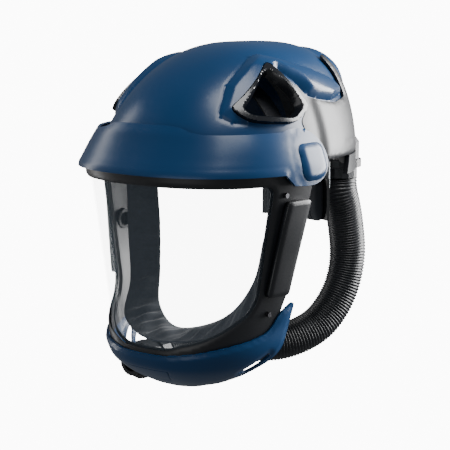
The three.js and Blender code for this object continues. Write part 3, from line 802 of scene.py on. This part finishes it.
# ---- face seal: a web of wrinkled cloth from the frame to the cheeks and under the chin ----
SEAL_RIM = [(104, -48, -20), (95, -56, -70), (85, -64, -118), (62, -96, -150), (0, -119, -160)]
SEAL_FACE = [(76, -32, -20), (67, -38, -65), (60, -46, -108), (42, -66, -140), (0, -84, -153)]


def make_face_seal():
    along_steps, across_steps = 260, 24
    lines = []
    for half in (SEAL_RIM, SEAL_FACE):
        route = half + [(-x, y, z) for x, y, z in reversed(half[:-1])]
        line = [Vector(p) for p in spline_points(route, 40)]
        lines.append(even_points(line, sum((b - a).length for a, b in zip(line, line[1:])) / along_steps))
    count = min(len(line) for line in lines)
    points = []
    for k in range(count):
        rim, face = lines[0][k], lines[1][k]
        ahead = (lines[0][min(k + 1, count - 1)] - lines[0][max(k - 1, 0)]).normalized()
        normal = ahead.cross((face - rim).normalized()).normalized()
        run = k / (count - 1)
        for i in range(across_steps + 1):
            f = i / across_steps
            slack = math.sin(math.pi * f)
            fold = math.sin(run * 118 + 2.2 * math.sin(run * 31) + 3.0 * f)
            fold += 0.6 * math.sin(run * 61 - 5.5 * f + 1.3) + 0.35 * math.sin(run * 205 + 9 * f)
            points.append(tuple(rim.lerp(face, f) + normal * slack * (1.5 * fold - 2.0)))
    row = across_steps + 1
    faces = [(k * row + i, k * row + i + 1, (k + 1) * row + i + 1, (k + 1) * row + i)
             for k in range(count - 1) for i in range(across_steps)]
    mesh = mesh_from("face_seal_cloth", points, faces)
    seal = new_object("face_seal_cloth", mesh, "cloth", "visor", "grey_cloth", ("face_seal",))
    thicken(seal, 1.2, 0)


# ---- padded pieces: the brow band's foam and the nape pad ----
def pad_piece(name, line, outward, low, high, depth, replaces, body):
    """A foam strip along a line, crowned on its inner face and pulled in at its stitched rows."""
    around = 28
    points = []
    middle, half = (low + high) / 2, (high - low) / 2
    count = len(line)
    for k, ((x, y), (nx, ny)) in enumerate(zip(line, outward)):
        run = k / (count - 1)
        end = math.sqrt(max(0.0, 1 - abs(2 * run - 1) ** 14))
        stitch = 1 - 0.35 * math.exp(-(math.sin(run * math.pi * 6) / 0.09) ** 2)
        for i in range(around):
            a = 2 * math.pi * i / around
            inward = signed_power(math.cos(a), 0.75)
            share = (1.0 - 0.45 * math.sin(a) ** 2) * stitch if inward > 0 else 0.25
            shift = depth * inward * share * (0.25 + 0.75 * end)
            points.append((x - nx * shift, y - ny * shift,
                           middle + half * signed_power(math.sin(a), 0.55) * (0.55 + 0.45 * end)))
    faces = [(k * around + i, k * around + (i + 1) % around, (k + 1) * around + (i + 1) % around, (k + 1) * around + i)
             for k in range(count - 1) for i in range(around)]
    faces += [tuple(reversed(range(around))), tuple(range((count - 1) * around, count * around))]
    mesh = mesh_from(name, points, faces)
    pad = new_object(name, mesh, "cloth", body, "grey_cloth", replaces)


def make_pads():
    turns = [math.radians(-160 + 140 * k / 140) for k in range(141)]
    band = [(77.5 * math.cos(a), 97.5 * math.sin(a)) for a in turns]
    outward = [tuple(Vector((math.cos(a) / 77.5, math.sin(a) / 97.5)).normalized()) for a in turns]
    pad_piece("sweatband_foam", band, outward, -15, 16, 3.0, ("sweatband",), "helmet")
    turns = [math.radians(90 + 21 * (1 - 2 * k / 90)) for k in range(91)]
    nape = [(100.4 * math.cos(a), 5 + 100.4 * math.sin(a)) for a in turns]
    pad_piece("nape_pad_foam", nape, [(math.cos(a), math.sin(a)) for a in turns], -68, -20, 8.0, ("nape_pad",), "nape")


# ---- breathing hose: a corrugated tube along the route ----
RIB_PITCH = 3.1
RIB_DEPTH = 1.5


def spline_points(route, per_span):
    """A smooth line through the route's points, as Catmull-Rom spans."""
    points = [Vector(p) for p in route]
    points = [points[0] * 2 - points[1], *points, points[-1] * 2 - points[-2]]
    line = []
    for k in range(1, len(points) - 2):
        a, b, c, d = points[k - 1:k + 3]
        for i in range(per_span):
            t = i / per_span
            line.append(0.5 * (2 * b + (c - a) * t + (2 * a - 5 * b + 4 * c - d) * t * t
                               + (3 * b - a - 3 * c + d) * t ** 3))
    return line + [points[-2]]


def even_points(line, step):
    found = [line[0]]
    carry = 0.0
    for a, b in zip(line, line[1:]):
        length = (b - a).length
        while carry + length >= step:
            a = a.lerp(b, (step - carry) / length)
            length = (b - a).length
            found.append(a)
            carry = 0.0
        carry += length
    found.append(line[-1])
    return found


def make_hose():
    per_rib = 6
    line = even_points(spline_points(HOSE_ROUTE, 24), RIB_PITCH * MM / per_rib)
    sides = 40
    outer = HOSE_DIAMETER / 2
    points = []
    faces = []
    across = Vector((1, 0, 0))
    for k, here in enumerate(line):
        ahead = line[min(k + 1, len(line) - 1)] - line[max(k - 1, 0)]
        ahead.normalize()
        across = (across - ahead * across.dot(ahead)).normalized()
        up = ahead.cross(across)
        wave = 0.5 + 0.5 * math.cos(2 * math.pi * k / per_rib)
        radius = outer - RIB_DEPTH * MM * (1 - wave ** 0.7)
        for i in range(sides):
            a = 2 * math.pi * i / sides
            points.append((here + (across * math.cos(a) + up * math.sin(a)) * radius) / MM)
    rings = len(line)
    for k in range(rings - 1):
        for i in range(sides):
            j = (i + 1) % sides
            faces.append((k * sides + i, k * sides + j, (k + 1) * sides + j, (k + 1) * sides + i))
    faces.append(tuple(reversed(range(sides))))
    faces.append(tuple(range((rings - 1) * sides, rings * sides)))
    mesh = mesh_from("breathing_hose_ribbed", points, faces)
    hose = new_object("breathing_hose_ribbed", mesh, "rubber", "helmet", "black_rubber", ("breathing_hose",))


# ---- plain CAD nodes that keep their shape get their finish ----
FINISHES = {
    "soft_black": ("headband", "crown_strap_long", "crown_strap_cross"),
    "black": ("hose_socket", "hose_union_nut", "air_duct", "air_deflector", "harness_clip_left",
              "harness_clip_right", "harness_clip_front", "harness_clip_rear", "nape_cradle", "nape_ratchet",
              "nape_knob", "valve_seat_left", "valve_seat_right", "hose_connector", "bayonet_ring"),
    "rubber": ("hose_cuff", "hose_end_cuff", "connector_seal", "valve_membrane_left", "valve_membrane_right"),
    "pale": ("nape_strap_left", "nape_strap_right"),
    "steel": ("pivot_pin_left", "pivot_pin_right"),
    "screw_black": ("frame_screw_upper_left", "frame_screw_upper_right",
              "frame_screw_lower_left", "frame_screw_lower_right"),
}


def finish_nodes():
    for material, nodes in FINISHES.items():
        for node in nodes:
            obj = bpy.data.objects[node]
            for slot in obj.material_slots:
                slot.material = MATERIALS[material]


make_hose()
make_shell()
make_bezels()
make_housing()
make_brow()
make_pivot_caps()
make_frame()
make_valve_covers()
make_chin_guard()
make_face_seal()
make_pads()
finish_nodes()
bpy.context.view_layer.update()
